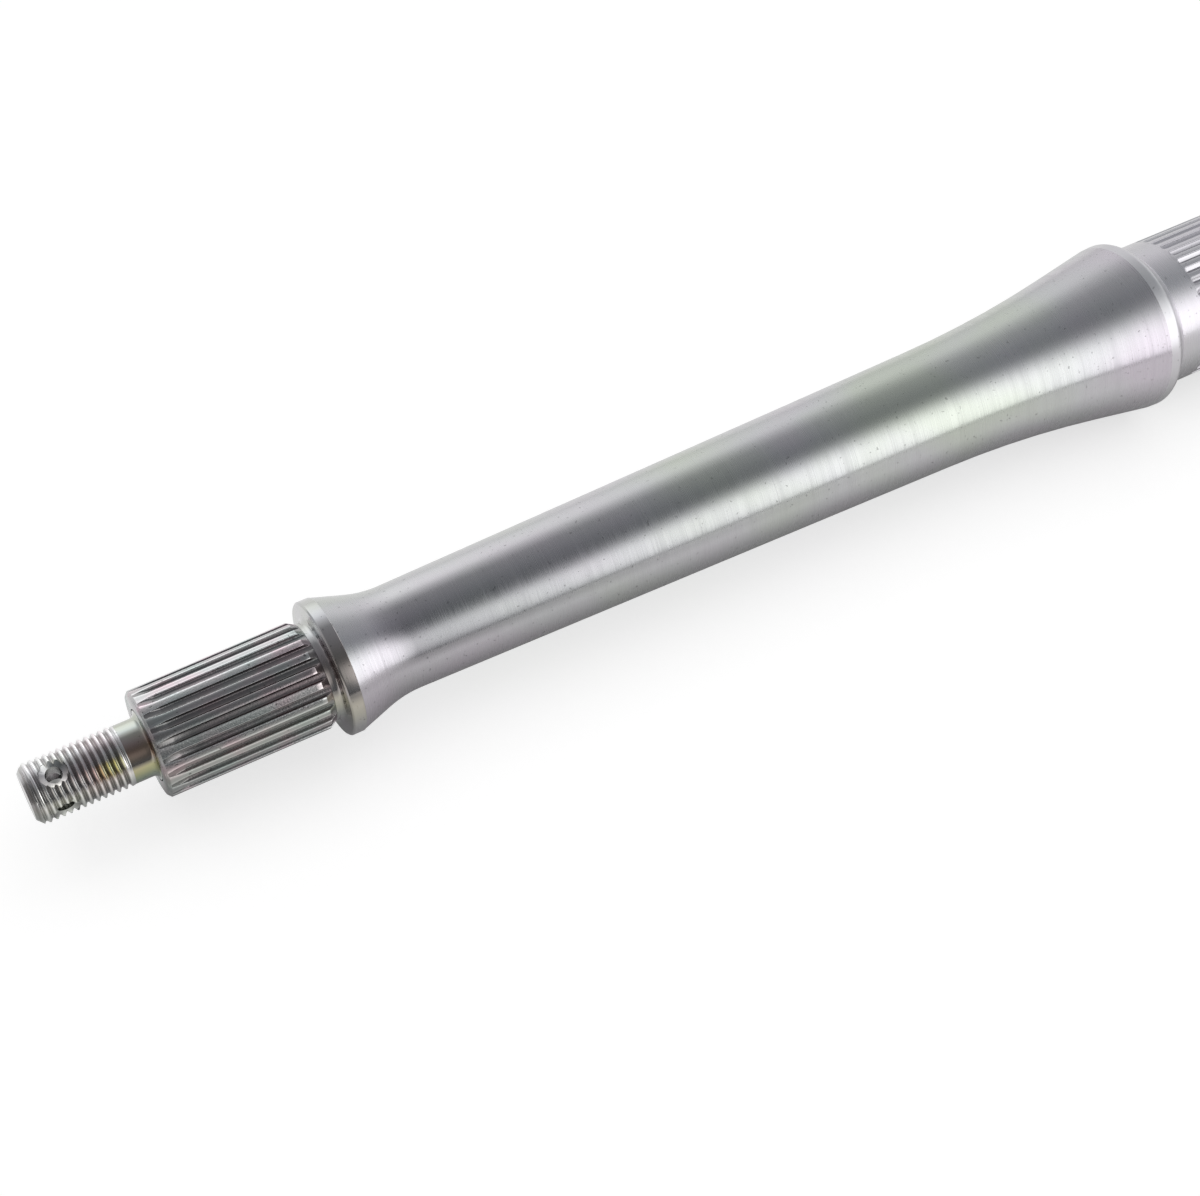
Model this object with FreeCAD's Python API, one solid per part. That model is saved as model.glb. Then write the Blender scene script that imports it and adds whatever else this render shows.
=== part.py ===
import FreeCAD, Part
import math
import os

os.makedirs("parts", exist_ok=True)

# Rear axle shaft, turned and splined from one steel bar. It lies along X, with +Z up.
# The origin is the middle of the left bearing seat. Millimetres and degrees.
# Both hub ends are alike. A station is a distance along the shaft from its left tip.

# Hub end: threaded tip with two crossed cotter holes
thread_diameter = 18.0
thread_length = 26.0
tip_chamfer_length = 1.9
tip_chamfer_depth = 2.3
thread_runout = 1.8
neck_undercut = 0.3
neck_length = 7.2
neck_fillet = 1.8
cotter_bore = 4.8
cotter_mouth = 8.3
cotter_station = 8.5
cotter_clock = 74.0

# Hub end: spline, relief groove and the collar that a wheel hub seats on
hub_spline_diameter = 32.8
hub_spline_depth = 1.4
hub_spline_length = 49.6
hub_teeth = 22
hub_spline_clock = 63.2
lead_chamfer_length = 0.9
lead_chamfer_depth = 0.7
crest_taper = 0.4
hub_end_chamfer = 2.0
relief_width = 3.9
relief_clearance = 0.1
relief_fillet = 1.2
collar_diameter = 41.25
collar_width = 4.1
collar_edge = 0.35

# Body: a cone from the collar to the waist, a slow taper, then the flare to the rim
cone_length = 14.7
waist_diameter = 31.6
waist_blend = 34.0
taper_length = 219.4
flare_diameter = 40.0
flare_blend = 395.0
flare_length = 47.1
rim_diameter = 56.3
rim_rise = 0.4
rim_width = 4.9
rim_bevel_length = 4.4
rim_edge_fillet = 4.0

# Drive spline with closed, round-ended grooves, then the two bearing seats
drive_spline_diameter = 47.4
drive_spline_depth = 1.1
drive_land_length = 8.5
drive_spline_length = 46.6
drive_teeth = 36
drive_spline_clock = 52.9
drive_end_chamfer = 1.1
seat_clearance = 0.1
seat_length = 30.0
seat_chamfer = 0.5
seat_gap = 66.0
seat_relief_depth = 0.4
seat_step_depth = 0.6

# Far taper, from the right seat down to the waist of the second hub end
far_cone_length = 25.5
far_diameter = 39.5
far_blend = 160.0
far_taper_length = 210.7

# Tooth form, as shares of the pitch at the crest
crest_share = 0.40
floor_share = 0.28

# Length of a groove's nose, as a multiple of its half width: a hub groove runs out to a point
hub_nose_stretch = 6.5
drive_nose_stretch = 1.0

# How round forms are made: flat sides on a groove's nose, and degrees in one fillet arc
nose_facets = 6
widest_arc = 60.0

# How far each cutter reaches past the surface that it starts from
cutter_margin = 0.8

# Diameters that follow from the ones above
hub_root_diameter = hub_spline_diameter - 2 * hub_spline_depth
drive_root_diameter = drive_spline_diameter - 2 * drive_spline_depth
seat_diameter = drive_root_diameter - 2 * seat_clearance

# Stations that follow from the lengths above
neck_station = thread_length + thread_runout
shoulder_station = neck_station + neck_length
hub_spline_end = shoulder_station + hub_spline_length
collar_station = hub_spline_end + relief_width
collar_end = collar_station + collar_width
waist_station = collar_end + cone_length
flare_station = waist_station + taper_length
rim_station = flare_station + flare_length
rim_end = rim_station + rim_width
land_station = rim_end + rim_bevel_length
drive_station = land_station + drive_land_length
drive_end = drive_station + drive_spline_length
left_seat_end = drive_end + seat_length
right_seat_station = left_seat_end + seat_gap
right_seat_end = right_seat_station + seat_length
far_station = right_seat_end + seat_chamfer + far_cone_length
shaft_length = far_station + far_taper_length + waist_station
origin_station = (drive_end + left_seat_end) / 2

axis_point = FreeCAD.Vector(0, 0, 0)
axis_direction = FreeCAD.Vector(1, 0, 0)


def hub_end_corners():
    """Corners of one hub end as (station from its own tip, radius, corner fillet)."""
    thread = thread_diameter / 2
    neck = thread - neck_undercut
    crest = hub_spline_diameter / 2
    lead = crest - crest_taper
    relief = hub_root_diameter / 2 - relief_clearance
    collar = collar_diameter / 2
    return [
        (0, thread - tip_chamfer_depth, 0),
        (tip_chamfer_length, thread, 0),
        (thread_length, thread, 0),
        (neck_station, neck, 0),
        (shoulder_station, neck, neck_fillet),
        (shoulder_station, lead - lead_chamfer_depth, 0),
        (shoulder_station + lead_chamfer_length, lead, 0),
        (hub_spline_end - hub_end_chamfer, crest, 0),
        (hub_spline_end, relief, 0),
        (collar_station, relief, relief_fillet),
        (collar_station, collar - collar_edge, 0),
        (collar_station + collar_edge, collar, 0),
        (collar_end, collar, 0),
        (waist_station, waist_diameter / 2, waist_blend),
    ]


def middle_corners():
    """Corners of the flare, the rim, the drive spline's land, both seats and the far cone."""
    rim = rim_diameter / 2
    land = drive_spline_diameter / 2
    seat = seat_diameter / 2
    relief = seat - seat_relief_depth
    return [
        (flare_station, flare_diameter / 2, flare_blend),
        (rim_station, rim - rim_rise, 0),
        (rim_end, rim, rim_edge_fillet),
        (land_station, land, 0),
        (drive_end - drive_end_chamfer, land, 0),
        (drive_end, seat, 0),
        (left_seat_end, seat, 0),
        (left_seat_end + seat_chamfer, relief, 0),
        (right_seat_station - seat_chamfer, relief, 0),
        (right_seat_station, seat, 0),
        (right_seat_end, seat, 0),
        (right_seat_end + seat_chamfer, seat - seat_step_depth, 0),
        (far_station, far_diameter / 2, far_blend),
    ]


def point_toward(start, end, distance):
    """The point that lies a distance from start on the way to end."""
    step = end.sub(start)
    step.normalize()
    return start.add(step.multiply(distance))


def fillet_arcs(centre, start, end):
    """A fillet from start to end about its centre, in equal arcs if it turns past the widest."""
    start_arm = start.sub(centre)
    end_arm = end.sub(centre)
    turn = start_arm.getAngle(end_arm)
    parts = math.ceil(math.degrees(turn) / widest_arc)
    points = []
    for step in range(2 * parts + 1):
        share = step / (2 * parts)
        start_part = math.sin((1 - share) * turn) / math.sin(turn)
        end_part = math.sin(share * turn) / math.sin(turn)
        points.append(centre + start_arm * start_part + end_arm * end_part)
    return [Part.Arc(*points[first:first + 3]).toShape() for first in range(0, 2 * parts, 2)]


def outline_edges(corners):
    """Edges from corner to corner, with a tangent arc where a corner has a fillet."""
    points = [FreeCAD.Vector(station - origin_station, radius, 0) for station, radius, _ in corners]
    edges = []
    last = points[0]
    for index in range(1, len(points) - 1):
        before, corner, after = points[index - 1:index + 2]
        fillet = corners[index][2]
        if fillet == 0:
            edges.append(Part.LineSegment(last, corner).toShape())
            last = corner
            continue
        half_angle = before.sub(corner).getAngle(after.sub(corner)) / 2
        longest_reach = 0.95 * min(before.distanceToPoint(corner), after.distanceToPoint(corner))
        reach = min(fillet / math.tan(half_angle), longest_reach)
        radius = reach * math.tan(half_angle)
        arc_start = point_toward(corner, before, reach)
        arc_end = point_toward(corner, after, reach)
        chord_middle = arc_start.add(arc_end).multiply(0.5)
        centre = point_toward(corner, chord_middle, radius / math.sin(half_angle))
        edges.append(Part.LineSegment(last, arc_start).toShape())
        edges += fillet_arcs(centre, arc_start, arc_end)
        last = arc_end
    edges.append(Part.LineSegment(last, points[-1]).toShape())
    return edges


def turned_blank():
    """The bar as it leaves the lathe, before its teeth and holes are cut."""
    near_end = hub_end_corners()
    far_end = [(shaft_length - station, radius, fillet) for station, radius, fillet in reversed(near_end)]
    edges = outline_edges(near_end + middle_corners() + far_end)
    first = edges[0].Vertexes[0].Point
    last = edges[-1].Vertexes[-1].Point
    left_centre = FreeCAD.Vector(first.x, 0, 0)
    right_centre = FreeCAD.Vector(last.x, 0, 0)
    edges.append(Part.LineSegment(last, right_centre).toShape())
    edges.append(Part.LineSegment(right_centre, left_centre).toShape())
    edges.append(Part.LineSegment(left_centre, first).toShape())
    half_section = Part.Face(Part.Wire(edges))
    return half_section.revolve(axis_point, axis_direction, 360)


def groove_plan(centre, end, half_width, stretch, height):
    """Corners of a groove's outline at one height, from its open end round the nose and back."""
    corners = [FreeCAD.Vector(end, half_width, height)]
    for step in range(nose_facets + 1):
        angle = math.pi * step / nose_facets
        x = centre - stretch * half_width * math.sin(angle)
        corners.append(FreeCAD.Vector(x, half_width * math.cos(angle), height))
    corners.append(FreeCAD.Vector(end, -half_width, height))
    return corners


def solid_between(lower, upper):
    """Solid with flat sides between two outlines that have the same number of corners."""
    outlines = [lower, upper]
    for index in range(len(lower)):
        outlines.append([lower[index - 1], lower[index], upper[index], upper[index - 1]])
    faces = [Part.Face(Part.makePolygon(outline + outline[:1])) for outline in outlines]
    return Part.makeSolid(Part.makeShell(faces))


def groove_cutter(start, end, crest_diameter, root_diameter, teeth, stretch):
    """Cutter for the gap between two teeth, above the axis, with a nose at its start."""
    pitch = math.pi * crest_diameter / teeth
    floor = pitch * floor_share / 2
    mouth = pitch * (1 - crest_share) / 2
    depth = (crest_diameter - root_diameter) / 2
    top = mouth + (mouth - floor) * cutter_margin / depth
    top_height = crest_diameter / 2 + cutter_margin
    centre = start + stretch * mouth
    lower = groove_plan(centre, end, floor, stretch, root_diameter / 2)
    upper = groove_plan(centre, end, top, stretch, top_height)
    return solid_between(lower, upper)


def turned_copy(cutter, clock):
    """A copy turned from the top to a clock angle, the height above level seen from -Y."""
    copy = cutter.copy()
    copy.rotate(axis_point, axis_direction, 90 - clock)
    return copy


def ring_of(cutter, count, clock):
    """Even copies of a cutter all round the shaft, one of them at the clock angle."""
    return [turned_copy(cutter, clock + index * 360 / count) for index in range(count)]


def hub_spline_cutters():
    """Grooves of both hub splines, which run out at the shoulder and open into the relief."""
    groove = groove_cutter(shoulder_station - cutter_margin - origin_station,
                           hub_spline_end + relief_clearance - origin_station,
                           hub_spline_diameter, hub_root_diameter, hub_teeth, hub_nose_stretch)
    cutters = ring_of(groove, hub_teeth, hub_spline_clock)
    middle = FreeCAD.Vector(shaft_length / 2 - origin_station, 0, 0)
    return cutters + [cutter.mirror(middle, axis_direction) for cutter in cutters]


def drive_spline_cutters():
    """Grooves of the drive spline, closed at the rim side and open over the left seat."""
    groove = groove_cutter(drive_station - origin_station, drive_end + cutter_margin - origin_station,
                           drive_spline_diameter, drive_root_diameter, drive_teeth, drive_nose_stretch)
    return ring_of(groove, drive_teeth, drive_spline_clock)


def cotter_cutter(station):
    """A hole drilled across a tip along Z, with a countersink at both mouths."""
    x = station - origin_station
    bore = cotter_bore / 2
    reach = thread_diameter / 2 + cutter_margin
    sink_depth = cotter_mouth / 2 - bore + cutter_margin
    cutter = Part.makeCylinder(bore, 2 * reach, FreeCAD.Vector(x, 0, -reach))
    for side in (-1, 1):
        inner_end = FreeCAD.Vector(x, 0, side * (reach - sink_depth))
        outward = FreeCAD.Vector(0, 0, side)
        cutter = cutter.fuse(Part.makeCone(bore, bore + sink_depth, sink_depth, inner_end, outward))
    return cutter.removeSplitter()


def cotter_cutters():
    """Two holes through each threaded tip, square to each other at one station."""
    cutters = []
    for station in (cotter_station, shaft_length - cotter_station):
        hole = cotter_cutter(station)
        cutters += [turned_copy(hole, cotter_clock), turned_copy(hole, cotter_clock - 90)]
    return cutters


axle_shaft = turned_blank()
axle_shaft = axle_shaft.cut(hub_spline_cutters() + drive_spline_cutters())
axle_shaft = axle_shaft.cut(cotter_cutters())
axle_shaft.exportStep("parts/axle_shaft.step")

print("length", round(shaft_length, 2), "origin station", round(origin_station, 2))
print("volume", round(axle_shaft.Volume), "valid", axle_shaft.isValid(), "solids", len(axle_shaft.Solids))
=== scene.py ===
import bmesh
import bpy
import math
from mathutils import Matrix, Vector


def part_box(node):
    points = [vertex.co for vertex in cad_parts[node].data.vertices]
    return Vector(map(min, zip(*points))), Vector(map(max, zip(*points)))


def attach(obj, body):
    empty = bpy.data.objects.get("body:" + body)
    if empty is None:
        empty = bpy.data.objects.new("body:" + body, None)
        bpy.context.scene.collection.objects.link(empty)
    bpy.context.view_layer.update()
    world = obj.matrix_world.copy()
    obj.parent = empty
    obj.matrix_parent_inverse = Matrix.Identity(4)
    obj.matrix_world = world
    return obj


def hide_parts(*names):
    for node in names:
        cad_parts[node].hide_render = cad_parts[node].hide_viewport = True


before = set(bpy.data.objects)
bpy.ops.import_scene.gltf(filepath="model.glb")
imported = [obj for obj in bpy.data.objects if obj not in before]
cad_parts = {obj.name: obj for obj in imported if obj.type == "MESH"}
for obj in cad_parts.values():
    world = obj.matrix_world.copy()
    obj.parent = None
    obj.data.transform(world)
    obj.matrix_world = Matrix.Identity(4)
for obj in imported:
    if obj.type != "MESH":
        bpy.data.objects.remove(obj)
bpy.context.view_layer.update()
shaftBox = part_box("axle_shaft")
print("frame loaded, shaft from", round(shaftBox[0][0], 4), "to", round(shaftBox[1][0], 4), "m")

# Lengths are written in millimetres and turned into metres as a mesh is made.
# A station is a distance along the shaft from its left tip.
mm = 0.001
leftTipX = shaftBox[0][0]
shaftLength = (shaftBox[1][0] - shaftBox[0][0]) / mm

meshing = {
    "arcStep": 6.0,          # degrees between the points of a fillet
    "filletReach": 0.95,     # a fillet takes at most this share of the shorter run beside it
    "columns": 256,          # points round a turned piece
    "weld": 2e-7,            # metres between points that become one
    "sharpAngle": 32.0,
}

# Marks of painted shade and painted highlight, which some finishes turn into tones.
shadedGrooveMark = 0.0             # down in a groove, or at a thread's root: painted shade, with a darker film in the grooves
plainMark = 0.5
brightEdgeMark = 1.0               # on the edge of a tooth or the crest of a thread, a painted highlight, and on the rim edge's lighter face


def roundedOutline(corners, arcStep=meshing["arcStep"]):
    # corners are (station, radius, fillet), and a fillet becomes a tangent arc
    points = [corners[0][:2]]
    for before, corner, after in zip(corners, corners[1:], corners[2:]):
        here = Vector(corner[:2])
        back = Vector(before[:2]) - here
        ahead = Vector(after[:2]) - here
        if corner[2] == 0:
            points.append(tuple(here))
            continue
        half = back.angle(ahead) / 2
        reach = min(corner[2] / math.tan(half), meshing["filletReach"] * min(back.length, ahead.length))
        radius = reach * math.tan(half)
        middle = (back.normalized() + ahead.normalized()).normalized()
        centre = here + middle * radius / math.sin(half)
        arms = [here + back.normalized() * reach - centre, here + ahead.normalized() * reach - centre]
        turn = arms[0].angle(arms[1])
        steps = max(2, round(math.degrees(turn) / arcStep))
        for step in range(steps + 1):
            first = math.sin((1 - step / steps) * turn) / math.sin(turn)
            second = math.sin(step / steps * turn) / math.sin(turn)
            points.append(tuple(centre + arms[0] * first + arms[1] * second))
    points.append(corners[-1][:2])
    return points


def mirrored(points):
    # the same outline at the far end of the shaft
    return [(shaftLength - point[0],) + tuple(point[1:]) for point in reversed(points)]


def densified(points, longest):
    # adds points on the straight runs that are longer than this
    dense = [points[0]]
    for start, end in zip(points, points[1:]):
        count = max(1, math.ceil(math.dist(start, end) / longest))
        for step in range(1, count + 1):
            share = step / count
            dense.append(tuple(a + (b - a) * share for a, b in zip(start, end)))
    return dense


def radiusAt(points, station):
    for start, end in zip(points, points[1:]):
        if start[0] <= station <= end[0] and end[0] > start[0]:
            return start[1] + (end[1] - start[1]) * (station - start[0]) / (end[0] - start[0])
    return points[-1][1] if station > points[-1][0] else points[0][1]


def ringPoint(station, radius, angle):
    # the angle is 0 at the top and grows towards -Y, where the camera is
    x = leftTipX + station * mm
    return (x, -radius * mm * math.sin(angle), radius * mm * math.cos(angle))


def placedMesh(name, vertices, faces):
    mesh = bpy.data.meshes.new(name)
    mesh.from_pydata(vertices, [], faces)
    piece = bpy.data.objects.new(name, mesh)
    bpy.context.scene.collection.objects.link(piece)
    return piece


def closedRings(name, rings, wrapRow=None):
    # A mesh from rings with as many points each, closed by a flat cap at both ends. Where wrapRow
    # is given, a ring's last point joins the first point of another row, as a helix does.
    columns = len(rings[0])
    vertices = [point for ring in rings for point in ring]
    faces = [list(range(columns))]
    for row in range(len(rings) - 1):
        for column in range(columns):
            ahead = column + 1
            low, high = row, row + 1
            if ahead == columns:
                ahead = 0
                if wrapRow:
                    low, high = wrapRow(row), wrapRow(row + 1)
            faces.append([row * columns + column, (row + 1) * columns + column,
                          high * columns + ahead, low * columns + ahead])
    last = (len(rings) - 1) * columns
    faces.append([last + column for column in reversed(range(columns))])
    return placedMesh(name, vertices, faces)


def cleanMesh(piece):
    shape = bmesh.new()
    shape.from_mesh(piece.data)
    bmesh.ops.remove_doubles(shape, verts=shape.verts, dist=meshing["weld"])
    bmesh.ops.dissolve_degenerate(shape, edges=shape.edges, dist=meshing["weld"])
    bmesh.ops.recalc_face_normals(shape, faces=shape.faces)
    shape.to_mesh(piece.data)
    shape.free()


def markShadeAndHighlight(piece, marks):
    piece.data.attributes.new("wear", "FLOAT", "POINT").data.foreach_set("value", marks)


def finishPiece(piece, material, sharpAngle=meshing["sharpAngle"]):
    cleanMesh(piece)
    piece.data.polygons.foreach_set("use_smooth", [True] * len(piece.data.polygons))
    piece.data.set_sharp_from_angle(angle=math.radians(sharpAngle))
    piece.data.materials.clear()
    piece.data.materials.append(material)
    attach(piece, "root")
    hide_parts("axle_shaft")
    print("piece", piece.name, len(piece.data.polygons), "faces")


def turnedPiece(name, points, material, columns=meshing["columns"], lighterBelow=None):
    # surfaces below the given radius get the bright mark, and read lighter
    rings = [[ringPoint(station, radius, 2 * math.pi * column / columns) for column in range(columns)]
             for station, radius in points]
    piece = closedRings(name, rings)
    if lighterBelow:
        marks = []
        for station, radius in points:
            marks += [brightEdgeMark if radius < lighterBelow else plainMark] * columns
        markShadeAndHighlight(piece, marks)
    finishPiece(piece, material)


# the plated steel is one recipe, and each region of the shaft changes some of its values

plating = {
    "steel": (0.500, 0.500, 0.508),
    "lilac": (0.530, 0.485, 0.535),
    "green": (0.485, 0.515, 0.455),
    "tintSize": 26.0,        # patches per metre
    "tintStretch": (0.6, 1, 1),
    "tintDetail": 2.5,
    "tintStops": (0.34, 0.5, 0.66),         # where the patches are lilac, plain and green
    "tintAmount": 0.5,
    "roughness": 0.26,
    "ringRoughness": 0.14,   # how much it changes from one turning ring to the next
    "ringsPerMetre": 2600.0,
    "ringDetail": 2.0,
    "wideRings": 9,          # times as wide as the fine rings
    "wideDetail": 3.0,
    "streakScale": 60.0,     # streaks are parts of rings
    "streakDetail": 3.0,
    "streakWidth": 90,       # in fine rings
    "ringShares": (0.45, 0.35, 0.20),       # of fine rings, wide rings and streaks
    "ringRange": (0.35, 0.65),              # the part of their sum that sets the roughness
    "ringBump": 0.10,
    "grainBump": 0.05,
    "grainScale": 5200.0,
    "grainDetail": 2.0,
    "anisotropy": 0.85,
    "anisotropyTurn": 0.25,
    "pits": 0.35,
    "pitScale": 900.0,
    "pitDetail": 1.0,
    "pitEdge": (0.24, 0.30), # the noise of a pit's floor and of its rim
    "pitBump": 0.3,          # times the pits' own strength
    "bumpStrength": 0.6,
    "bumpDistance": 0.0001,
    "filmRound": 0.0,        # how strongly the painted reflection colours of the film, fixed round the shaft, tint the plating
    "rainbow": 0.0,          # gold, blue and pink glints painted on the upper front as highlights
    "wearTones": None,       # tones by the mark of painted shade and highlight, in rising order
}

# painted reflection colour: the film colours of the plating as seen from the front, fixed by the angle in
# degrees from the front over the top
paintedFilmTones = [(-180, (0.96, 0.96, 0.96)), (-40, (0.92, 0.98, 0.94)), (-11, (0.88, 1.00, 0.80)),
             (4, (0.97, 1.00, 0.58)), (16, (1.00, 0.96, 0.54)), (27, (0.95, 0.88, 0.75)),
             (36, (0.98, 0.80, 0.62)), (53, (0.90, 0.66, 0.50)), (63, (0.95, 0.74, 0.66)),
             (72, (0.98, 0.84, 0.80)), (95, (0.92, 0.95, 0.99)), (117, (1.00, 0.99, 0.94)),
             (180, (0.96, 0.96, 0.96))]

# painted highlights: the gold, blue and pink glints of a tip
rainbow = {
    "span": (0.4265, 0.4410),               # metres from the shaft's middle
    "tones": [(0.0, (0.84, 1.00, 0.42)), (0.22, (1.00, 0.94, 0.34)), (0.45, (1.00, 0.78, 0.34)),
              (0.66, (1.00, 0.68, 0.50)), (0.84, (1.00, 0.82, 0.84)), (1.0, (0.84, 0.90, 1.00))],
    "along": [(0.0, 0.0), (0.10, 1.0), (0.45, 1.0), (1.0, 0.0)],       # their strength over the span
    "round": [(18, 0.0), (27, 1.0), (50, 1.0), (58, 0.0)],             # and by the same angle as the painted film colours
    "patchScale": 240.0,
    "patchDetail": 1.0,
    "patchStretch": (1, 0.6, 0.6),
    "patchRange": (0.3, 0.7),
    "patchShift": (-0.16, 0.16),            # the patches shift a tone by up to this share of the span
}


def newMaterial(name):
    material = bpy.data.materials.new(name)
    material.use_nodes = True
    return material, material.node_tree


def feed(tree, socket, value):
    # a socket takes a fixed value, or a link from another socket
    if isinstance(value, bpy.types.NodeSocket):
        tree.links.new(value, socket)
    else:
        socket.default_value = value


def linkedMath(tree, operation, first, second=0.0):
    node = tree.nodes.new("ShaderNodeMath")
    node.operation = operation
    feed(tree, node.inputs[0], first)
    feed(tree, node.inputs[1], second)
    return node.outputs[0]


def mixedTones(tree, blend, first, second, amount=1.0):
    node = tree.nodes.new("ShaderNodeMix")
    node.data_type = "RGBA"
    node.blend_type = blend
    feed(tree, node.inputs["Factor"], amount)
    feed(tree, node.inputs["A"], first)
    feed(tree, node.inputs["B"], second)
    return node.outputs["Result"]


def rangeMapped(tree, value, source, target=(0, 1)):
    node = tree.nodes.new("ShaderNodeMapRange")
    node.inputs["From Min"].default_value, node.inputs["From Max"].default_value = source
    node.inputs["To Min"].default_value, node.inputs["To Max"].default_value = target
    tree.links.new(value, node.inputs["Value"])
    return node.outputs["Result"]


def steppedRamp(tree, value, stops):
    # stops are (position, three tones) with at least two of them, in rising order
    ramp = tree.nodes.new("ShaderNodeValToRGB")
    elements = ramp.color_ramp.elements
    elements[0].position, elements[0].color = stops[0][0], (*stops[0][1], 1)
    elements[1].position, elements[1].color = stops[-1][0], (*stops[-1][1], 1)
    for position, tones in stops[1:-1]:
        elements.new(position).color = (*tones, 1)
    tree.links.new(value, ramp.inputs[0])
    return ramp.outputs[0]


def objectPlace(tree):
    # a point of the object in metres, whole and split in X, Y and Z
    place = tree.nodes.new("ShaderNodeTexCoord").outputs["Object"]
    split = tree.nodes.new("ShaderNodeSeparateXYZ")
    tree.links.new(place, split.inputs[0])
    return place, split.outputs


def noiseAt(tree, place, scale, detail, stretch=(1, 1, 1)):
    mapping = tree.nodes.new("ShaderNodeMapping")
    mapping.inputs["Scale"].default_value = stretch
    tree.links.new(place, mapping.inputs["Vector"])
    node = tree.nodes.new("ShaderNodeTexNoise")
    node.noise_dimensions = "3D"
    node.inputs["Scale"].default_value = scale
    node.inputs["Detail"].default_value = detail
    tree.links.new(mapping.outputs["Vector"], node.inputs["Vector"])
    return node.outputs[0]


def ringNoise(tree, x, scale, detail):
    # noise that changes along the shaft only
    node = tree.nodes.new("ShaderNodeTexNoise")
    node.noise_dimensions = "1D"
    node.inputs["Scale"].default_value = scale
    node.inputs["Detail"].default_value = detail
    tree.links.new(x, node.inputs["W"])
    return node.outputs[0]


def weightedSum(tree, values, weights):
    total = linkedMath(tree, "MULTIPLY", values[0], weights[0])
    for value, weight in zip(values[1:], weights[1:]):
        total = linkedMath(tree, "ADD", total, linkedMath(tree, "MULTIPLY", value, weight))
    return total


def turnShare(tree, split):
    # how far round the shaft a point is, from 0 to 1, with the front at 0.5
    front = linkedMath(tree, "MULTIPLY", split["Y"], -1.0)
    turn = linkedMath(tree, "DIVIDE", linkedMath(tree, "ARCTAN2", split["Z"], front), 2 * math.pi)
    return linkedMath(tree, "ADD", turn, 0.5)


def aroundStops(stops):
    # angles in degrees from -180 to 180 become the same shares of a turn
    return [(degrees / 360 + 0.5, tones) for degrees, tones in stops]


# painted highlights: glint colours multiplied into the tone on the upper front of a tip
def withPaintedGlints(tree, tone, place, split, amount):
    along = rangeMapped(tree, linkedMath(tree, "ABSOLUTE", split["X"]), rainbow["span"])
    roundStops = [(degrees, (share * amount,) * 3) for degrees, share in rainbow["round"]]
    reach = steppedRamp(tree, turnShare(tree, split), aroundStops(roundStops))
    strength = steppedRamp(tree, along, [(spot, (share,) * 3) for spot, share in rainbow["along"]])
    patch = noiseAt(tree, place, rainbow["patchScale"], rainbow["patchDetail"], rainbow["patchStretch"])
    uneven = rangeMapped(tree, patch, rainbow["patchRange"], rainbow["patchShift"])
    paintedGlintTones = steppedRamp(tree, linkedMath(tree, "ADD", along, uneven), rainbow["tones"])
    return mixedTones(tree, "MULTIPLY", tone, paintedGlintTones, linkedMath(tree, "MULTIPLY", reach, strength))


def platedSteel(name, **changes):
    look = dict(plating, **changes)
    material, tree = newMaterial(name)
    shader = tree.nodes["Principled BSDF"]
    place, split = objectPlace(tree)
    perMetre = look["ringsPerMetre"]
    fineRings = ringNoise(tree, split["X"], perMetre, look["ringDetail"])
    wideRings = ringNoise(tree, split["X"], perMetre / look["wideRings"], look["wideDetail"])
    streaks = noiseAt(tree, place, look["streakScale"], look["streakDetail"],
                      (perMetre / look["streakWidth"], 1, 1))
    tints = noiseAt(tree, place, look["tintSize"], look["tintDetail"], look["tintStretch"])
    grain = noiseAt(tree, place, look["grainScale"], look["grainDetail"])
    spots = noiseAt(tree, place, look["pitScale"], look["pitDetail"])

    # lilac and green patches of the clear plating over the steel colour, and tiny dark pits
    patches = steppedRamp(tree, tints, list(zip(look["tintStops"],
                                                (look["lilac"], look["steel"], look["green"]))))
    tone = mixedTones(tree, "MIX", (*look["steel"], 1), patches, look["tintAmount"])
    pitMask = rangeMapped(tree, spots, look["pitEdge"], (1 - look["pits"], 1.0))
    tone = mixedTones(tree, "MULTIPLY", tone, pitMask)

    # painted reflection colour of the film round the shaft, then painted shade in grooves and painted
    # highlight on edges from the marks
    if look["filmRound"]:
        film = steppedRamp(tree, turnShare(tree, split), aroundStops(paintedFilmTones))
        tone = mixedTones(tree, "MULTIPLY", tone, film, look["filmRound"])
    if look["rainbow"]:
        tone = withPaintedGlints(tree, tone, place, split, look["rainbow"])
    if look["wearTones"]:
        wear = tree.nodes.new("ShaderNodeAttribute")
        wear.attribute_name = "wear"
        shadedAndLit = steppedRamp(tree, wear.outputs["Fac"], look["wearTones"])
        tone = mixedTones(tree, "MULTIPLY", tone, shadedAndLit)
    tree.links.new(tone, shader.inputs["Base Color"])

    # turning rings change the roughness from one to the next
    rings = weightedSum(tree, (fineRings, wideRings, streaks), look["ringShares"])
    halfChange = look["ringRoughness"] / 2
    spread = rangeMapped(tree, rings, look["ringRange"],
                         (look["roughness"] - halfChange, look["roughness"] + halfChange))
    tree.links.new(spread, shader.inputs["Roughness"])

    # rings, grain and pits in relief
    height = weightedSum(tree, (rings, grain, pitMask),
                         (look["ringBump"], look["grainBump"], look["pits"] * look["pitBump"]))
    bump = tree.nodes.new("ShaderNodeBump")
    bump.inputs["Strength"].default_value = look["bumpStrength"]
    bump.inputs["Distance"].default_value = look["bumpDistance"]
    tree.links.new(height, bump.inputs["Height"])
    tree.links.new(bump.outputs["Normal"], shader.inputs["Normal"])

    around = tree.nodes.new("ShaderNodeTangent")
    around.direction_type = "RADIAL"
    around.axis = "X"
    tree.links.new(around.outputs[0], shader.inputs["Tangent"])
    shader.inputs["Metallic"].default_value = 1.0
    shader.inputs["Anisotropic"].default_value = look["anisotropy"]
    shader.inputs["Anisotropic Rotation"].default_value = look["anisotropyTurn"]
    return material


# the threaded tip with two crossed cotter holes

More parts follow.
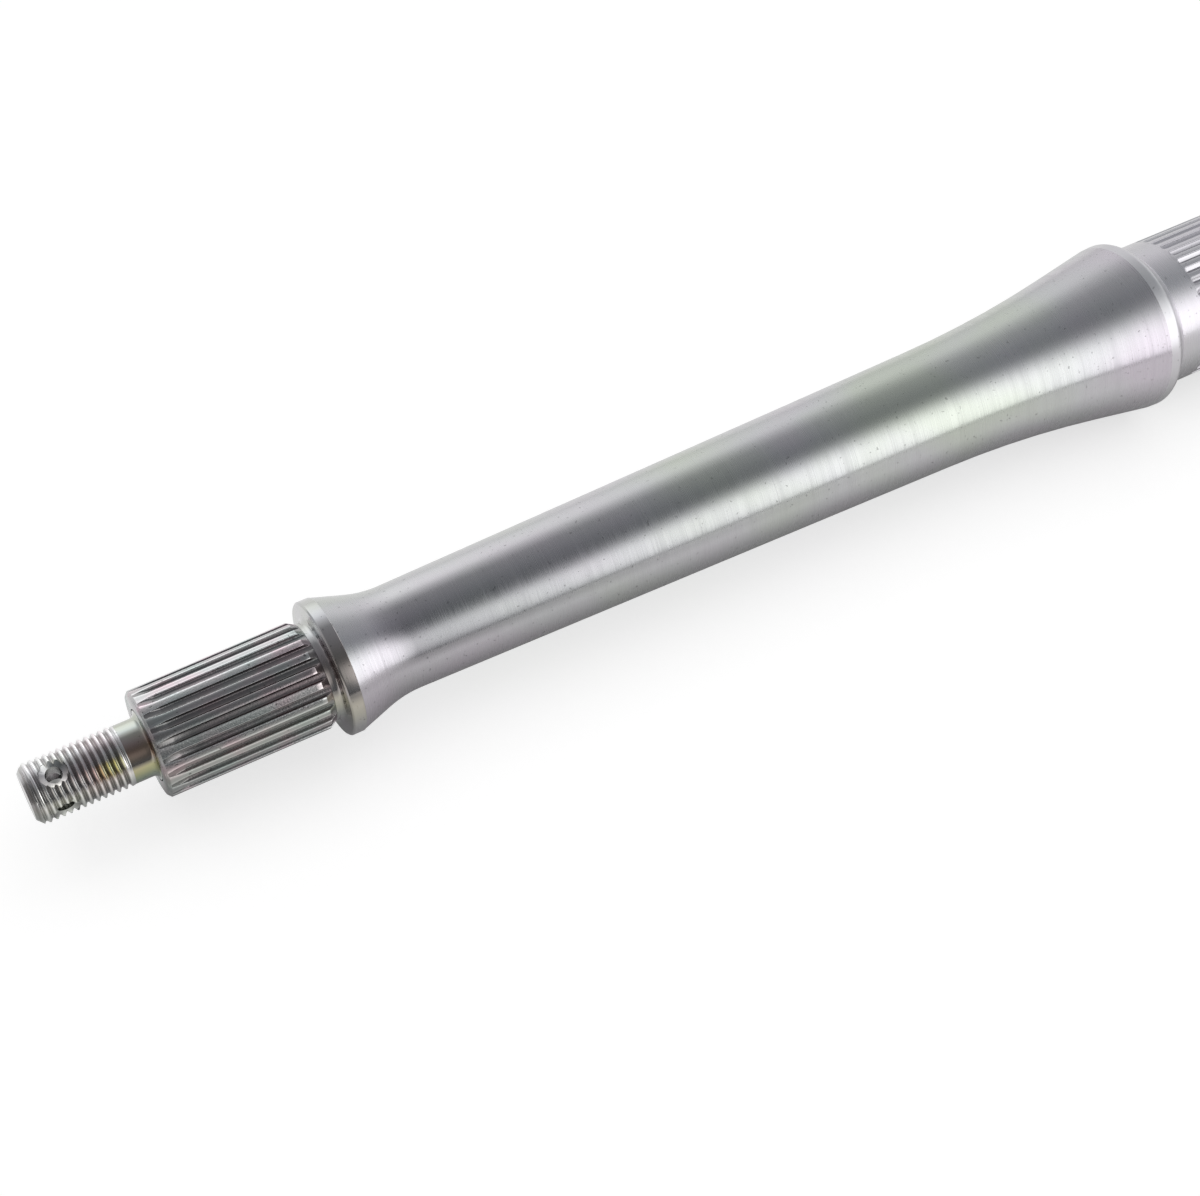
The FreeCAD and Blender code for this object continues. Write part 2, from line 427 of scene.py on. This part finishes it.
tip = {
    "threadRadius": 9.0,
    "threadEnd": 26.6,
    "pitch": 2.0,
    "threadShift": 0.65,     # where the helix starts
    "threadDepth": 1.05,
    "rootShare": 0.10,       # of the pitch
    "flankShare": 0.36,
    "flankCurve": 0.35,      # 0 is a straight flank, and 1 is rounded at its root and crest
    "shallowStart": 0.70,    # share of the depth at the very tip
    "fullDepthAt": 12.0,
    "runoutEnd": 28.2,
    "runoutFade": 1.3,       # the thread dies out over this length
    "chamfer": (1.9, 2.1),   # along the shaft and across it
    "neckRadius": 8.7,
    "neckLap": 0.01,         # the neck starts this far inside the thread's end
    "neckColumns": 128,
    "shoulder": 35.0,
    "shoulderRise": 0.4,     # the shoulder's own height over the fillet
    "neckFillet": 1.8,
    "holeStation": 8.5,
    "holeRadius": 2.4,
    "mouthRadius": 4.15,
    "mouthWall": 1.0,        # a countersink is steep over this depth, and then tapers to the hole
    "mouthSlope": 0.2,       # how much it narrows over the steep part, by depth
    "mouthDepth": 1.95,
    "mouthOver": (1.0, 0.3),                # the drill goes on over the thread, and widens there
    "holeClocks": (74.0, -16.0),
    "holeMark": 0.45,        # the mark inside the holes and on the tip's chamfer, between the shaded and plain tones
    "holeBelow": -0.3,       # what is this far under the thread's root, in thread depths, has it
    "drillColumns": 48,
    "columns": 120,
    "rowsPerPitch": 14,
    "sharpAngle": 38.0,
}


def threadShape(phase):
    # height of the thread from 0 at its root to 1 at its crest
    place = abs((phase % 1.0) - 0.5)
    rise = min(max((place - tip["rootShare"] / 2) / tip["flankShare"], 0), 1)
    return rise * rise * (3 - 2 * rise) * tip["flankCurve"] + rise * (1 - tip["flankCurve"])


def threadedTip(name, farEnd, material):
    size = tip
    columns = size["columns"]
    outer, end = size["threadRadius"], size["runoutEnd"]
    envelope = [(0, outer - size["chamfer"][1]), (size["chamfer"][0], outer),
                (size["threadEnd"], outer), (end, size["neckRadius"])]
    step = size["pitch"] / size["rowsPerPitch"]
    rows = math.ceil((end + size["pitch"]) / step) + 1

    def placed(station, radius, angle):
        if farEnd:
            return ringPoint(shaftLength - station, radius, -angle)
        return ringPoint(station, radius, angle)

    def wrapRow(row):
        return min(row + size["rowsPerPitch"], rows - 1)

    rings = []
    for row in range(rows):
        along = -size["pitch"] + row * step
        shape = threadShape((along - size["threadShift"]) / size["pitch"])
        ring = []
        for column in range(columns):
            station = min(max(along + size["pitch"] * column / columns, 0), end)
            grown = size["shallowStart"] + (1 - size["shallowStart"]) * station / size["fullDepthAt"]
            depth = size["threadDepth"] * min(1, grown)
            fade = min(max((end - station) / size["runoutFade"], 0), 1)
            radius = min(radiusAt(envelope, station), outer - depth * (1 - shape) * fade)
            ring.append(placed(station, radius, 2 * math.pi * column / columns))
        rings.append(ring)

    piece = closedRings(name, rings, wrapRow)
    cleanMesh(piece)
    holeStation = shaftLength - size["holeStation"] if farEnd else size["holeStation"]
    for clock in size["holeClocks"]:
        drillAcross(piece, holeStation, clock)
    # the thread's roots get painted shade and its crests a painted highlight
    root = outer - size["threadDepth"]
    heights = [(math.hypot(vertex.co.y, vertex.co.z) / mm - root) / size["threadDepth"]
               for vertex in piece.data.vertices]
    markShadeAndHighlight(piece, [size["holeMark"] if height < size["holeBelow"]
                     else min(max(height, shadedGrooveMark), brightEdgeMark) for height in heights])
    finishPiece(piece, material, size["sharpAngle"])


def neckCorners():
    size = tip
    neck, shoulder = size["neckRadius"], size["shoulder"]
    return [(size["runoutEnd"] - size["neckLap"], neck, 0), (shoulder, neck, size["neckFillet"]),
            (shoulder, neck + size["neckFillet"] + size["shoulderRise"], 0)]


def drillAcross(piece, station, clock):
    # a drill with a countersink at both ends, turned from the top to the clock angle
    size = tip
    outer, mouth = size["threadRadius"], size["mouthRadius"]
    half = [(outer + size["mouthOver"][0], mouth + size["mouthOver"][1]), (outer, mouth),
            (outer - size["mouthWall"], mouth - size["mouthSlope"] * size["mouthWall"]),
            (outer - size["mouthDepth"], size["holeRadius"])]
    outline = [(-height, radius) for height, radius in half] + half[::-1]
    turn = math.radians(90 - clock)
    x = leftTipX + station * mm
    rings = []
    for height, radius in outline:
        ring = []
        for column in range(size["drillColumns"]):
            angle = 2 * math.pi * column / size["drillColumns"]
            y = radius * math.sin(angle) * mm
            z = height * mm
            ring.append((x + radius * math.cos(angle) * mm,
                         y * math.cos(turn) - z * math.sin(turn), y * math.sin(turn) + z * math.cos(turn)))
        rings.append(ring)
    drill = closedRings("drill", rings)
    cleanMesh(drill)
    cut = piece.modifiers.new("drill", "BOOLEAN")
    cut.operation = "DIFFERENCE"
    cut.solver = "MANIFOLD"
    cut.object = drill
    bpy.context.view_layer.objects.active = piece
    bpy.ops.object.modifier_apply(modifier=cut.name)
    bpy.data.objects.remove(drill)


# both kinds of spline share the section of a groove

groove = {
    "across": (-1, -0.94, -0.86, -0.75, -0.6, -0.35, 0, 0.35, 0.6, 0.75, 0.86, 0.94, 1),
    "lipTurns": (30, 60, 90),               # degrees round a tooth's lip
    "lipOfDepth": 0.35,      # a lip is no larger than these shares of the groove's depth and half width
    "lipOfWidth": 0.4,
    "toothPoints": (1 / 3, 2 / 3),          # across the crest between two grooves
    "plainUnder": 0.02,      # a groove shallower than this has the plain mark
}


def splineMouth(size):
    # half the width of a groove at its full depth
    return 2 * math.pi * size["crest"] / size["teeth"] * size["mouthShare"]


def splineRing(size, station, crest, root, noseReach=0.0):
    # One ring of a splined length. A groove is as deep as the crest stands over its root here,
    # and noseReach is how far this station is inside the closed end's round nose.
    mouth = splineMouth(size)
    fullDepth = size["crest"] - size["root"]
    depth = max(crest - root, 0.0)
    pitch = 2 * math.pi / size["teeth"]
    halfWidth = mouth * (depth / fullDepth) ** size["roundness"]
    if noseReach > 0:
        halfWidth = math.sqrt(max(halfWidth ** 2 - noseReach ** 2, 0))
    lip = min(size["toothEdge"], depth * groove["lipOfDepth"], halfWidth * groove["lipOfWidth"])
    wall = halfWidth - lip / 2
    rounding = [(wall + lip * (1 - math.cos(turn)), crest - lip * (1 - math.sin(turn)))
                for turn in map(math.radians, groove["lipTurns"])]
    start = math.radians(90 - size["clock"])
    gapEdge = math.asin((wall + lip) / crest)
    # groove floors get painted shade and a tooth's lips a painted highlight
    floorMark = shadedGrooveMark if depth > groove["plainUnder"] else plainMark
    points = []
    for tooth in range(size["teeth"]):
        centre = start + tooth * pitch
        for sideways, radius in reversed(rounding):
            points.append((station, radius, centre - math.asin(sideways / radius), brightEdgeMark))
        for share in groove["across"]:
            sideways = share * wall
            fromSpine = math.hypot(sideways, max(noseReach, 0)) / mouth
            radius = root + min(fullDepth * fromSpine ** (1 / size["roundness"]), depth - lip)
            if depth == 0:
                radius = crest
            points.append((station, radius, centre + math.asin(sideways / radius), floorMark))
        for sideways, radius in rounding:
            points.append((station, radius, centre + math.asin(sideways / radius), brightEdgeMark))
        for share in groove["toothPoints"]:
            points.append((station, crest, centre + gapEdge + (pitch - 2 * gapEdge) * share, plainMark))
    return points


def ringsPiece(name, rings, material, sharpAngle):
    piece = closedRings(name, [[ringPoint(*point[:3]) for point in ring] for ring in rings])
    markShadeAndHighlight(piece, [point[3] for ring in rings for point in ring])
    finishPiece(piece, material, sharpAngle)


hubSpline = {
    "start": 35.0,
    "end": 85.9,
    "crest": 16.4,
    "root": 15.0,
    "teeth": 22,
    "clock": 63.2,           # degrees from the front towards the top to the middle of a groove
    "mouthShare": 0.295,     # half the gap's width, as a share of the pitch
    "roundness": 0.22,       # how soon a groove narrows where it gets shallow
    "toothEdge": 0.22,
    "leadRadius": 15.1,
    "leadChamfer": 0.8,
    "leadRings": 8,          # steps over the lead's chamfer, and endRings over the other one
    "crestTaper": 0.4,       # the crest is this much lower at the lead
    "runoutLength": 6.0,     # the grooves rise towards the shoulder over this length
    "runoutRise": 0.975,
    "runoutStations": (35.95, 36.1, 36.3, 36.6, 37, 37.5, 38, 38.6, 39.2, 39.8, 40.4, 41),
    "plainStations": (46, 52, 60, 68, 76, 80, 82),
    "endChamfer": 2.3,
    "endRings": 12,
    "relief": 14.9,
    "reliefLap": 0.1,        # the chamfer ends this far past the spline
    "sharpAngle": 48.0,
}


def hubSplinePiece(name, farEnd, material):
    size = hubSpline
    chamferStart = size["end"] - size["endChamfer"]
    outline = [(size["start"], size["leadRadius"]),
               (size["start"] + size["leadChamfer"], size["crest"] - size["crestTaper"]),
               (chamferStart, size["crest"]), (size["end"] + size["reliefLap"], size["relief"])]
    stations = [size["start"] + size["leadChamfer"] * step / size["leadRings"]
                for step in range(size["leadRings"] + 1)]
    stations += size["runoutStations"] + size["plainStations"]
    stations += [chamferStart + (size["endChamfer"] + size["reliefLap"]) * step / size["endRings"]
                 for step in range(size["endRings"] + 1)]
    rings = []
    for station in stations:
        left = max(size["start"] + size["runoutLength"] - station, 0) / size["runoutLength"]
        root = size["root"] + size["runoutRise"] * math.sin(left * math.pi / 2)
        rings.append(splineRing(size, station, radiusAt(outline, station), root))
    if farEnd:
        rings = [[(shaftLength - point[0],) + point[1:] for point in ring] for ring in reversed(rings)]
    ringsPiece(name, rings, material, size["sharpAngle"])


collar = {
    "face": 88.5,
    "end": 92.6,
    "radius": 20.625,
    "fillet": 1.5,           # the relief sweeps up into the collar's face
    "edge": 0.5,
    "edgeFillets": (0.12, 0.25),
    "coneEdge": 0.15,        # a small chamfer where the cone starts
    "arcStep": 12.0,
}


def collarCorners():
    size = collar
    face, end, radius, edge = size["face"], size["end"], size["radius"], size["edge"]
    return [(hubSpline["end"] + hubSpline["reliefLap"], hubSpline["relief"], 0),
            (face, hubSpline["relief"], size["fillet"]), (face, radius - edge, size["edgeFillets"][0]),
            (face + edge, radius, size["edgeFillets"][1]), (end - size["coneEdge"], radius, 0),
            (end, radius - size["coneEdge"], 0)]


body = {
    "waistStation": 107.3,
    "waistRadius": 15.8,
    "waistBlend": 34.0,
    "flareStation": 326.7,
    "flareRadius": 20.0,
    "flareBlend": 395.0,
    "arcStep": 1.5,
    "longestRun": 6.0,       # longer straight runs get points in between
}


def bodyCorners():
    size = body
    return [(collar["end"], collar["radius"] - collar["coneEdge"], 0),
            (size["waistStation"], size["waistRadius"], size["waistBlend"]),
            (size["flareStation"], size["flareRadius"], size["flareBlend"]),
            (rim["edgeFrom"], rim["edgeFromRadius"], 0)]


rim = {
    "edgeFrom": 374.0,       # the turned flare ends here, and a rougher edge begins
    "edgeFromRadius": 27.78,
    "edgeStation": 377.6,
    "edgeRadius": 27.97,
    "edgeFillet": 2.4,
    "edgeArcStep": 5.0,
    "lighterBelow": 27.3,      # the edge is lighter below this radius
    "land": 382.4,
    "landRun": 1.2,          # longest run of the plain land
    "grooveStart": 391.6,
    "noseRings": 12,         # steps round the nose of a groove
    "plainRings": (6, 14, 22, 30, 38),      # past the middle of a groove's nose
    "splineEnd": 438.2,
    "crest": 23.7,
    "root": 22.6,
    "teeth": 36,
    "clock": 52.9,
    "mouthShare": 0.31,
    "roundness": 0.80,
    "toothEdge": 0.22,
    "endChamfer": 1.1,
    "endRings": 6,
    "seat": 22.5,
    "sharpAngle": 40.0,
}


def rimEdgeCorners():
    size = rim
    return [(size["edgeFrom"], size["edgeFromRadius"], 0),
            (size["edgeStation"], size["edgeRadius"], size["edgeFillet"]),
            (size["land"], size["crest"], 0)]


def driveSplinePiece(name, material):
    size = rim
    mouth = splineMouth(size)
    noseCentre = size["grooveStart"] + mouth
    chamferStart = size["splineEnd"] - size["endChamfer"]
    stations = [size["grooveStart"]]
    stations += [noseCentre - mouth * math.cos(math.pi / 2 * step / size["noseRings"])
                 for step in range(1, size["noseRings"] + 1)]
    stations += [noseCentre + past for past in size["plainRings"]]
    stations += [size["splineEnd"] - size["endChamfer"] * (1 - step / size["endRings"])
                 for step in range(size["endRings"] + 1)]
    rings = []
    for station in stations:
        chamfer = max(station - chamferStart, 0) / size["endChamfer"]
        crest = size["crest"] - (size["crest"] - size["seat"]) * chamfer
        rings.append(splineRing(size, station, crest, size["root"], noseCentre - station))
    # the plain land keeps the angles of the first ring, so that their points meet
    land = densified([(size["land"], size["crest"]), (size["grooveStart"], size["crest"])],
                     size["landRun"])
    landRings = [[(station, radius, point[2], plainMark) for point in rings[0]]
                 for station, radius in land[:-1]]
    ringsPiece(name, landRings + rings, material, size["sharpAngle"])


seats = {
    "leftEnd": 468.2,
    "rightStart": 534.2,
    "rightEnd": 564.2,
    "chamfer": 0.5,
    "relief": 0.4,
    "step": 0.6,             # down from the right seat to the far body
    "longestRun": 8.0,
    "farStation": 590.2,
    "farRadius": 19.75,
    "farBlend": 160.0,
}


def seatCorners():
    size = seats
    seat = rim["seat"]
    return [(rim["splineEnd"], seat, 0), (size["leftEnd"], seat, 0),
            (size["leftEnd"] + size["chamfer"], seat - size["relief"], 0),
            (size["rightStart"] - size["chamfer"], seat - size["relief"], 0),
            (size["rightStart"], seat, 0), (size["rightEnd"], seat, 0),
            (size["rightEnd"] + size["chamfer"], seat - size["step"], 0)]


def farCorners():
    size = seats
    return [(size["rightEnd"] + size["chamfer"], rim["seat"] - size["step"], 0),
            (size["farStation"], size["farRadius"], size["farBlend"]),
            (shaftLength - body["waistStation"], body["waistRadius"], body["waistBlend"]),
            (shaftLength - collar["end"], collar["radius"] - collar["coneEdge"], 0)]


# the thread and spline tones paint shade in roots and grooves and highlights on crests and tooth edges
threadSteel = platedSteel("thread_steel", steel=(0.88, 0.88, 0.89), lilac=(0.92, 0.82, 0.85),
                          green=(0.88, 0.90, 0.80), tintSize=110.0, tintAmount=0.6, roughness=0.22,
                          ringRoughness=0.08, ringsPerMetre=3600.0, anisotropy=0.3, filmRound=0.15,
                          rainbow=0.55, wearTones=[(shadedGrooveMark, (0.44, 0.43, 0.42)),
                                                   (plainMark, (0.64, 0.64, 0.64)), (0.9, (1, 1, 1))])
neckSteel = platedSteel("neck_steel", tintSize=90.0, tintAmount=0.8, roughness=0.16,
                        ringRoughness=0.05, ringBump=0.05, anisotropy=0.6, filmRound=1.0)
splineSteel = platedSteel("spline_steel", steel=(0.78, 0.77, 0.78), lilac=(0.86, 0.72, 0.77),
                          green=(0.71, 0.77, 0.76), tintSize=140.0, tintAmount=1.0, roughness=0.22,
                          ringRoughness=0.05, ringBump=0.0, grainBump=0.7, grainScale=2000.0,
                          anisotropy=0.0, pits=0.6, filmRound=0.15,
                          wearTones=[(shadedGrooveMark, (0.37, 0.36, 0.36)), (plainMark, (0.60, 0.60, 0.60)),
                                     (brightEdgeMark, (1, 1, 1))])
collarSteel = platedSteel("collar_steel", tintAmount=0.9, roughness=0.16, ringRoughness=0.05,
                          ringBump=0.12, anisotropy=0.6, filmRound=0.45)
bodySteel = platedSteel("body_steel", tintAmount=0.9)
edgeSteel = platedSteel("edge_steel", steel=(0.97, 0.97, 0.98), lilac=(0.93, 0.87, 0.94),
                        green=(0.90, 0.95, 0.87), roughness=0.32, ringRoughness=0.04, ringBump=0.03,
                        grainBump=0.15, anisotropy=0.2,
                        wearTones=[(plainMark, (0.58, 0.58, 0.58)), (brightEdgeMark, (0.93, 0.93, 0.93))])
rimSteel = platedSteel("rim_steel", roughness=0.28, ringRoughness=0.06, grainBump=0.10, anisotropy=0.5)
seatSteel = platedSteel("seat_steel", roughness=0.20, ringRoughness=0.05, ringsPerMetre=4200.0)
print("finishes mixed")

neckOutline = roundedOutline(neckCorners())
collarOutline = roundedOutline(collarCorners(), collar["arcStep"])
bodyOutline = densified(roundedOutline(bodyCorners(), body["arcStep"]), body["longestRun"])
edgeOutline = roundedOutline(rimEdgeCorners(), rim["edgeArcStep"])
seatOutline = densified(roundedOutline(seatCorners()), seats["longestRun"])
farOutline = densified(roundedOutline(farCorners(), body["arcStep"]), body["longestRun"])

threadedTip("leftThread", False, threadSteel)
turnedPiece("leftNeck", neckOutline, neckSteel, tip["neckColumns"])
hubSplinePiece("leftHubSpline", False, splineSteel)
turnedPiece("leftCollar", collarOutline, collarSteel)
turnedPiece("shaftBody", bodyOutline, bodySteel)
turnedPiece("rimEdge", edgeOutline, edgeSteel, lighterBelow=rim["lighterBelow"])
driveSplinePiece("driveSpline", rimSteel)
turnedPiece("bearingSeats", seatOutline, seatSteel)
turnedPiece("farBody", farOutline, bodySteel)
turnedPiece("rightCollar", mirrored(collarOutline), collarSteel)
hubSplinePiece("rightHubSpline", True, splineSteel)
turnedPiece("rightNeck", mirrored(neckOutline), neckSteel, tip["neckColumns"])
threadedTip("rightThread", True, threadSteel)

studio = {
    "floorLevel": -0.0282,
    "floorSize": 12.0,
    "floorColour": (0.50, 0.50, 0.50),
    "floorRoughness": 0.9,
    "floorLift": 0.66,       # added to what is seen of the floor, so that it reads as white paper
    # a low dark card that only reflections show, a painted dark reflection for the tip
    "darkCardPlace": -0.55,      # along the shaft
    "darkCardEdges": (-0.03, 0.05),             # its front and back
    "darkCardTop": 0.020,
    "darkCardGlow": 0.16,
    "sweepRadius": 0.66,
    "sweepEnds": (-6.0, 5.0),
    "sweepSegments": 90,
    "softboxTop": 4.0,       # a ramp holds shares of these levels
    "windowTop": 2.0,
    "softboxFall": 3.0,      # how suddenly the softbox ends
    "darkGap": (0.4, 2.8),   # degrees over which the sweep starts at the floor
    "lampPower": 29.0,
    "lampSize": 3.2,
    "lampHeight": 2.2,
    "airColour": (0.92, 0.92, 0.92),
    "airLight": 0.4,         # the air's strength on the object
    "airSeen": 0.6,          # added where the air itself or its reflection is seen
}

# Painted reflection: a glow that only the metal sees added to the floor, by the distance behind the shaft in
# metres. The floor in front is duller at the left end, and both fade into a painted shade near the shaft.
leftPaintedReflectionTones = [(-0.60, 0.0), (-0.25, 0.0), (-0.15, 0.22), (-0.08, 0.44), (-0.045, 0.28), (-0.02, 0.10),
                  (0.0, 0.06), (0.015, 0.55), (0.20, 0.66)]
rightPaintedReflectionTones = [(-0.60, 0.66), (-0.225, 0.64), (-0.073, 0.60), (-0.045, 0.38), (-0.03, 0.18),
                   (0.0, 0.05), (0.015, 0.55), (0.20, 0.66)]
floorReach = (-0.60, 0.20)
floorBlend = (-0.33, -0.10)  # from the left tones to the right ones, along the shaft

# What the sweep shows a polished surface, by the angle in degrees from the front horizon over the
# top to the back one. The dim room is a little blue, and the back window fades out towards its foot.
roomTones = [(0, (0.14, 0.15, 0.16)), (66, (0.155, 0.165, 0.175)), (90, (0.25, 0.26, 0.275)),
             (112, (0.34, 0.35, 0.36)), (180, (0.34, 0.35, 0.35))]
windowTones = [(0, (0, 0, 0)), (113, (0, 0, 0)), (127, (0.39, 0.39, 0.39)), (140, (0.9, 0.9, 0.9)),
               (150, (1, 1, 1)), (165, (0.92, 0.92, 0.92)), (180, (0.6, 0.6, 0.6))]

# The softbox in front grows brighter and taller along the shaft. Each stop is a place in metres
# with the softbox's level, its middle and half height in degrees, and the window's level.
alongStops = [(-1.60, 0.05, 37, 9, 0.20), (-0.85, 0.05, 37, 9, 0.40), (-0.55, 0.05, 37, 9, 1.20),
              (-0.35, 0.10, 37, 10, 1.30), (-0.24, 0.53, 33, 15, 1.10), (-0.17, 1.18, 25, 17, 0.86),
              (-0.08, 1.45, 24, 23, 0.82), (0.08, 1.72, 23, 30, 0.58), (0.25, 1.94, 23, 36, 0.43),
              (0.50, 1.86, 23, 37, 0.38)]
roomGrowth = [(-0.30, 0.87), (0.20, 1.34), (0.34, 2.0)]    # the dim room is lighter towards the right


def stageCard(name, vertices, faces, material, onlyReflected=False):
    card = placedMesh(name, vertices, faces)
    card.data.materials.append(material)
    if onlyReflected:
        card.visible_camera = False
        card.visible_diffuse = False
        card.visible_shadow = False


def paleFloor():
    material, tree = newMaterial("floor_paper")
    shader = tree.nodes["Principled BSDF"]
    shader.inputs["Base Color"].default_value = (*studio["floorColour"], 1)
    shader.inputs["Roughness"].default_value = studio["floorRoughness"]
    shader.inputs["Specular IOR Level"].default_value = 0.0
    path = tree.nodes.new("ShaderNodeLightPath")
    split = objectPlace(tree)[1]
    away = rangeMapped(tree, split["Y"], floorReach)
    front, back = floorReach
    sides = [steppedRamp(tree, away, [((y - front) / (back - front), (tone,) * 3) for y, tone in tones])
             for tones in (leftPaintedReflectionTones, rightPaintedReflectionTones)]
    blend = mixedTones(tree, "MIX", sides[0], sides[1], rangeMapped(tree, split["X"], floorBlend))
    # painted reflection: glossy and transmission rays see the floor glow by these tones
    seen = linkedMath(tree, "ADD", path.outputs["Is Glossy Ray"], path.outputs["Is Transmission Ray"])
    seen = linkedMath(tree, "MULTIPLY", seen, blend)
    lift = linkedMath(tree, "MULTIPLY", path.outputs["Is Camera Ray"], studio["floorLift"])
    shader.inputs["Emission Color"].default_value = (1, 1, 1, 1)
    tree.links.new(linkedMath(tree, "ADD", seen, lift), shader.inputs["Emission Strength"])
    half, level = studio["floorSize"], studio["floorLevel"]
    corners = [(-half, -half, level), (half, -half, level), (half, half, level), (-half, half, level)]
    stageCard("floor", corners, [(0, 1, 2, 3)], material)


def sweepMaterial():
    material, tree = newMaterial("sweep_light")
    tree.nodes.clear()
    split = objectPlace(tree)[1]
    height = linkedMath(tree, "SUBTRACT", split["Z"], studio["floorLevel"])
    front = linkedMath(tree, "MULTIPLY", split["Y"], -1.0)
    share = linkedMath(tree, "DIVIDE", linkedMath(tree, "ARCTAN2", height, front), math.pi)

    first, last = alongStops[0][0], alongStops[-1][0]
    along = linkedMath(tree, "DIVIDE", linkedMath(tree, "SUBTRACT", split["X"], first), last - first)
    boxStops, windowStops = [], []
    for x, level, middle, halfHeight, windowLevel in alongStops:
        position = (x - first) / (last - first)
        boxStops.append((position, (level / studio["softboxTop"], middle / 180, halfHeight / 180)))
        windowStops.append((position, (windowLevel / studio["windowTop"],) * 3))
    box = tree.nodes.new("ShaderNodeSeparateColor")
    tree.links.new(steppedRamp(tree, along, boxStops), box.inputs[0])
    offset = linkedMath(tree, "SUBTRACT", share, box.outputs["Green"])
    offset = linkedMath(tree, "ABSOLUTE", linkedMath(tree, "DIVIDE", offset, box.outputs["Blue"]))
    bell = linkedMath(tree, "POWER", 0.5, linkedMath(tree, "POWER", offset, studio["softboxFall"]))
    boxLevel = linkedMath(tree, "MULTIPLY", box.outputs["Red"], studio["softboxTop"])
    softbox = linkedMath(tree, "MULTIPLY", boxLevel, bell)
    windowShape = steppedRamp(tree, share, [(degrees / 180, tone) for degrees, tone in windowTones])
    windowLevels = linkedMath(tree, "MULTIPLY", steppedRamp(tree, along, windowStops), studio["windowTop"])
    window = linkedMath(tree, "MULTIPLY", windowLevels, windowShape)

    start, end, brightest = roomGrowth[0][0], roomGrowth[-1][0], roomGrowth[-1][1]
    growth = steppedRamp(tree, rangeMapped(tree, split["X"], (start, end)),
                         [((x - start) / (end - start), (level / brightest,) * 3) for x, level in roomGrowth])
    room = steppedRamp(tree, share, [(degrees / 180, [tone * brightest for tone in tones])
                                     for degrees, tones in roomTones])
    room = mixedTones(tree, "MULTIPLY", room, growth)
    lit = mixedTones(tree, "ADD", room, linkedMath(tree, "ADD", softbox, window))
    gap = rangeMapped(tree, share, [degrees / 180 for degrees in studio["darkGap"]])
    glow = tree.nodes.new("ShaderNodeEmission")
    tree.links.new(lit, glow.inputs["Color"])
    tree.links.new(gap, glow.inputs["Strength"])
    output = tree.nodes.new("ShaderNodeOutputMaterial")
    tree.links.new(glow.outputs[0], output.inputs["Surface"])
    return material


def lightSweep():
    # a long half tube of light round the shaft, seen only in its reflections
    segments, radius, level = studio["sweepSegments"], studio["sweepRadius"], studio["floorLevel"]
    vertices = []
    for x in studio["sweepEnds"]:
        for step in range(segments + 1):
            angle = math.pi * step / segments
            vertices.append((x, -radius * math.cos(angle), level + radius * math.sin(angle)))
    faces = [(step, step + 1, segments + 2 + step, segments + 1 + step) for step in range(segments)]
    stageCard("lightSweep", vertices, faces, sweepMaterial(), onlyReflected=True)


def darkReflectionCard():
    # painted reflection: a low dark card that glows faintly, seen only in the tip's reflections, lighting
    # nothing and casting no shadow
    material, tree = newMaterial("dark_reflection_card")
    shader = tree.nodes["Principled BSDF"]
    shader.inputs["Base Color"].default_value = (0, 0, 0, 1)
    shader.inputs["Emission Color"].default_value = (1, 1, 1, 1)
    shader.inputs["Emission Strength"].default_value = studio["darkCardGlow"]
    x, low, high = studio["darkCardPlace"], studio["floorLevel"], studio["darkCardTop"]
    front, back = studio["darkCardEdges"]
    corners = [(x, front, low), (x, back, low), (x, back, high), (x, front, high)]
    stageCard("darkReflectionCard", corners, [(0, 1, 2, 3)], material, onlyReflected=True)


def overheadLamp():
    lamp = bpy.data.lights.new("overheadLamp", "AREA")
    lamp.shape = "SQUARE"
    lamp.size = studio["lampSize"]
    lamp.energy = studio["lampPower"]
    holder = bpy.data.objects.new("overheadLamp", lamp)
    holder.location = (0.0, 0.0, studio["lampHeight"])
    holder.visible_glossy = False
    holder.visible_camera = False
    bpy.context.scene.collection.objects.link(holder)


def paleAir():
    world = bpy.data.worlds.new("studio_air")
    bpy.context.scene.world = world
    world.use_nodes = True
    tree = world.node_tree
    air = tree.nodes["Background"]
    air.inputs["Color"].default_value = (*studio["airColour"], 1)
    path = tree.nodes.new("ShaderNodeLightPath")
    seen = linkedMath(tree, "ADD", path.outputs["Is Camera Ray"], path.outputs["Is Glossy Ray"])
    seen = linkedMath(tree, "ADD", seen, path.outputs["Is Transmission Ray"])
    strength = linkedMath(tree, "MULTIPLY", seen, studio["airSeen"])
    tree.links.new(linkedMath(tree, "ADD", strength, studio["airLight"]), air.inputs["Strength"])


paleFloor()
lightSweep()
darkReflectionCard()
overheadLamp()
paleAir()
print("studio set")

# the camera stands where the photograph was taken from

view = {
    "lens": 63.6,
    "sensorWidth": 36.0,
    "location": (-0.47993, -0.36187, 0.47766),
    "tilt": 39.804,
    "turn": -29.694,
}

cameraData = bpy.data.cameras.new("camera")
cameraData.lens = view["lens"]
cameraData.sensor_width = view["sensorWidth"]
cameraData.sensor_fit = "HORIZONTAL"
camera = bpy.data.objects.new("camera", cameraData)
camera.location = view["location"]
camera.rotation_euler = (math.radians(view["tilt"]), 0, math.radians(view["turn"]))
bpy.context.scene.collection.objects.link(camera)
bpy.context.scene.camera = camera
bpy.context.scene.view_settings.view_transform = "Standard"
print("camera set")
